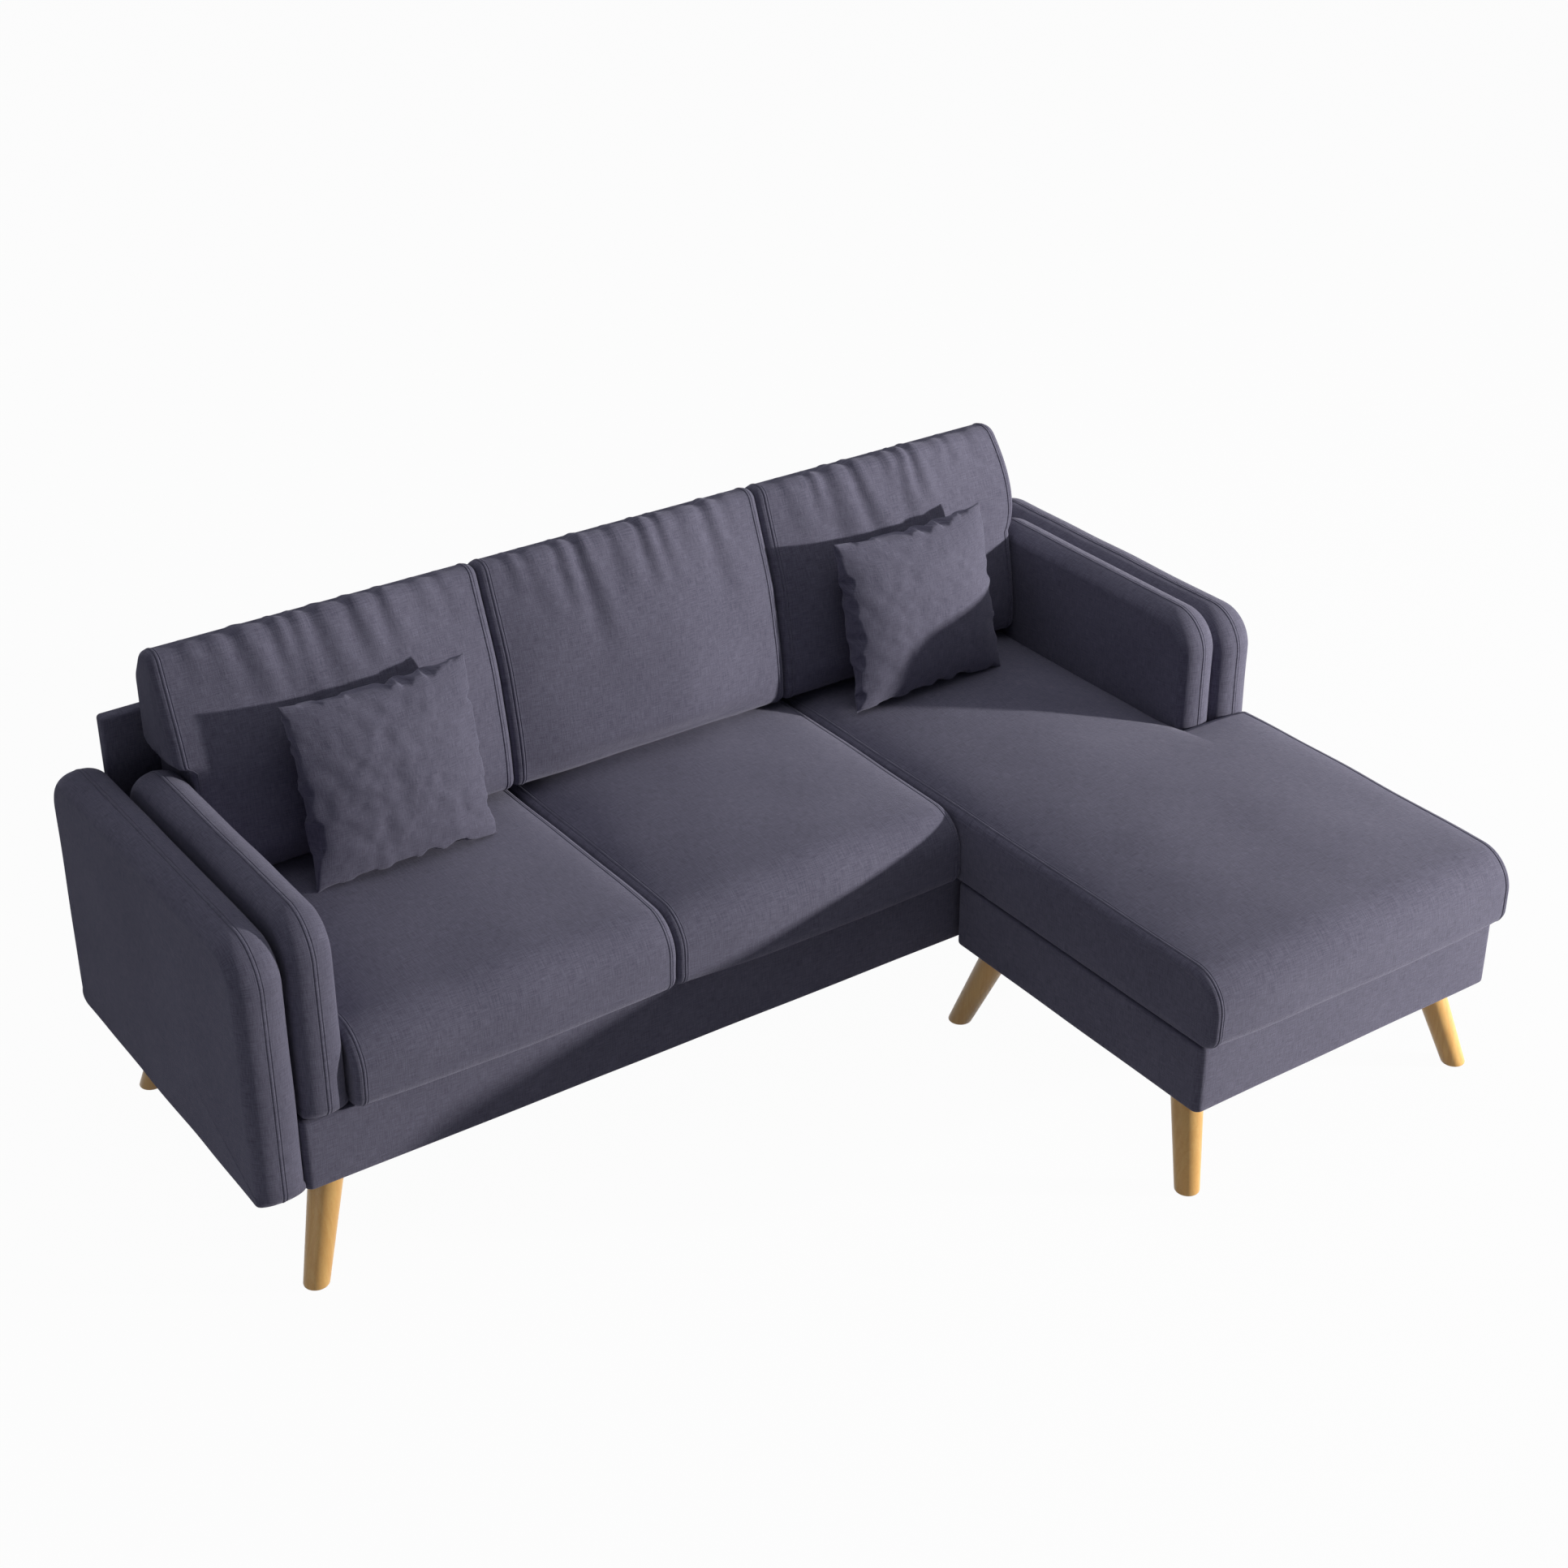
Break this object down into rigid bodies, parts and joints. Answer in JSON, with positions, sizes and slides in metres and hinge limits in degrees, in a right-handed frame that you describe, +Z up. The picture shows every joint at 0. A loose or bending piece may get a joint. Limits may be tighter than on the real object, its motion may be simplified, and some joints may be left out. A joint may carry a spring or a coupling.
{
  "type": "sectional sofa with chaise",
  "caption": "Compact upholstered sectional with slab arms, loose seat and back cushions, throw pillows, a separate chaise base and splayed round wooden legs.",
  "frame": {"origin": "on the floor, under the middle of the whole sofa's box", "axes": "+Z up, +X to the right as seen from the front and along the sofa's width, +Y to the back, so the chaise points along -Y"},
  "size_m": [2, 1.364, 0.8463],
  "materials": {
    "upholstery": "woven linen, matte",
    "padding": "foam and fibre",
    "webbing": "woven elastic webbing",
    "dust_cloth": "spun cloth",
    "leg_wood": "satin lacquer",
    "frame_wood": "sawn",
    "plywood": "sanded",
    "zinc_steel": "zinc plated",
    "spring_steel": "drawn wire"
  },
  "bodies": {
    "frame": {"assembly_bolts": "zinc_steel", "back_bottom_rail": "frame_wood", "back_cover": "upholstery", "back_posts": "frame_wood", "back_top_rail": "frame_wood", "back_webbing": "webbing", "left_arm_board": "plywood", "left_arm_cover": "upholstery", "left_arm_padding": "padding", "left_pad_cover": "upholstery", "left_pad_padding": "padding", "main_base_cover": "upholstery", "main_corner_blocks": "frame_wood", "main_cross_rails": "frame_wood", "main_deck_pad": "padding", "main_dust_cover": "dust_cloth", "main_end_rails": "frame_wood", "main_front_left_leg": "leg_wood", "main_front_rail": "frame_wood", "main_front_right_leg": "leg_wood", "main_leg_plates": "zinc_steel", "main_rear_left_leg": "leg_wood", "main_rear_rail": "frame_wood", "main_rear_right_leg": "leg_wood", "main_seat_springs": "spring_steel", "right_arm_board": "plywood", "right_arm_cover": "upholstery", "right_arm_padding": "padding", "right_pad_cover": "upholstery", "right_pad_padding": "padding"},
    "ottoman": {"ottoman_base_cover": "upholstery", "ottoman_corner_blocks": "frame_wood", "ottoman_deck_pad": "padding", "ottoman_dust_cover": "dust_cloth", "ottoman_front_left_leg": "leg_wood", "ottoman_front_rail": "frame_wood", "ottoman_front_right_leg": "leg_wood", "ottoman_leg_plates": "zinc_steel", "ottoman_rear_left_leg": "leg_wood", "ottoman_rear_rail": "frame_wood", "ottoman_rear_right_leg": "leg_wood", "ottoman_side_rails": "frame_wood", "ottoman_webbing": "webbing"},
    "seat_left": {"seat_left_core": "padding", "seat_left_cover": "upholstery"},
    "seat_middle": {"seat_middle_core": "padding", "seat_middle_cover": "upholstery"},
    "seat_chaise": {"seat_chaise_core": "padding", "seat_chaise_cover": "upholstery"},
    "back_left": {"back_left_cushion_core": "padding", "back_left_cushion_cover": "upholstery"},
    "back_middle": {"back_middle_cushion_core": "padding", "back_middle_cushion_cover": "upholstery"},
    "back_right": {"back_right_cushion_core": "padding", "back_right_cushion_cover": "upholstery"},
    "pillow_left": {"pillow_left_cover": "upholstery", "pillow_left_insert": "padding"},
    "pillow_right": {"pillow_right_cover": "upholstery", "pillow_right_insert": "padding"}
  },
  "joints": [
    {"name": "ottoman_pull", "type": "slide", "parent": "frame", "child": "ottoman", "axis": [0, -1, 0], "range_m": [0, 0.7]},
    {"name": "seat_left_draw", "type": "slide", "parent": "frame", "child": "seat_left", "axis": [0, -1, 0], "range_m": [0, 0.7]},
    {"name": "seat_middle_draw", "type": "slide", "parent": "frame", "child": "seat_middle", "axis": [0, -1, 0], "range_m": [0, 0.7]},
    {"name": "seat_chaise_lift", "type": "slide", "parent": "frame", "child": "seat_chaise", "axis": [0, 0, 1], "range_m": [0, 0.6]},
    {"name": "back_left_lift", "type": "slide", "parent": "seat_left", "child": "back_left", "axis": [0, 0, 1], "range_m": [0, 0.45]},
    {"name": "back_middle_lift", "type": "slide", "parent": "seat_middle", "child": "back_middle", "axis": [0, 0, 1], "range_m": [0, 0.45]},
    {"name": "back_right_lift", "type": "slide", "parent": "seat_chaise", "child": "back_right", "axis": [0, 0, 1], "range_m": [0, 0.45]},
    {"name": "pillow_left_lift", "type": "slide", "parent": "back_left", "child": "pillow_left", "axis": [0, -0.5, 0.866], "range_m": [0, 0.4]},
    {"name": "pillow_right_lift", "type": "slide", "parent": "back_right", "child": "pillow_right", "axis": [0, -0.5, 0.866], "range_m": [0, 0.4]}
  ]
}
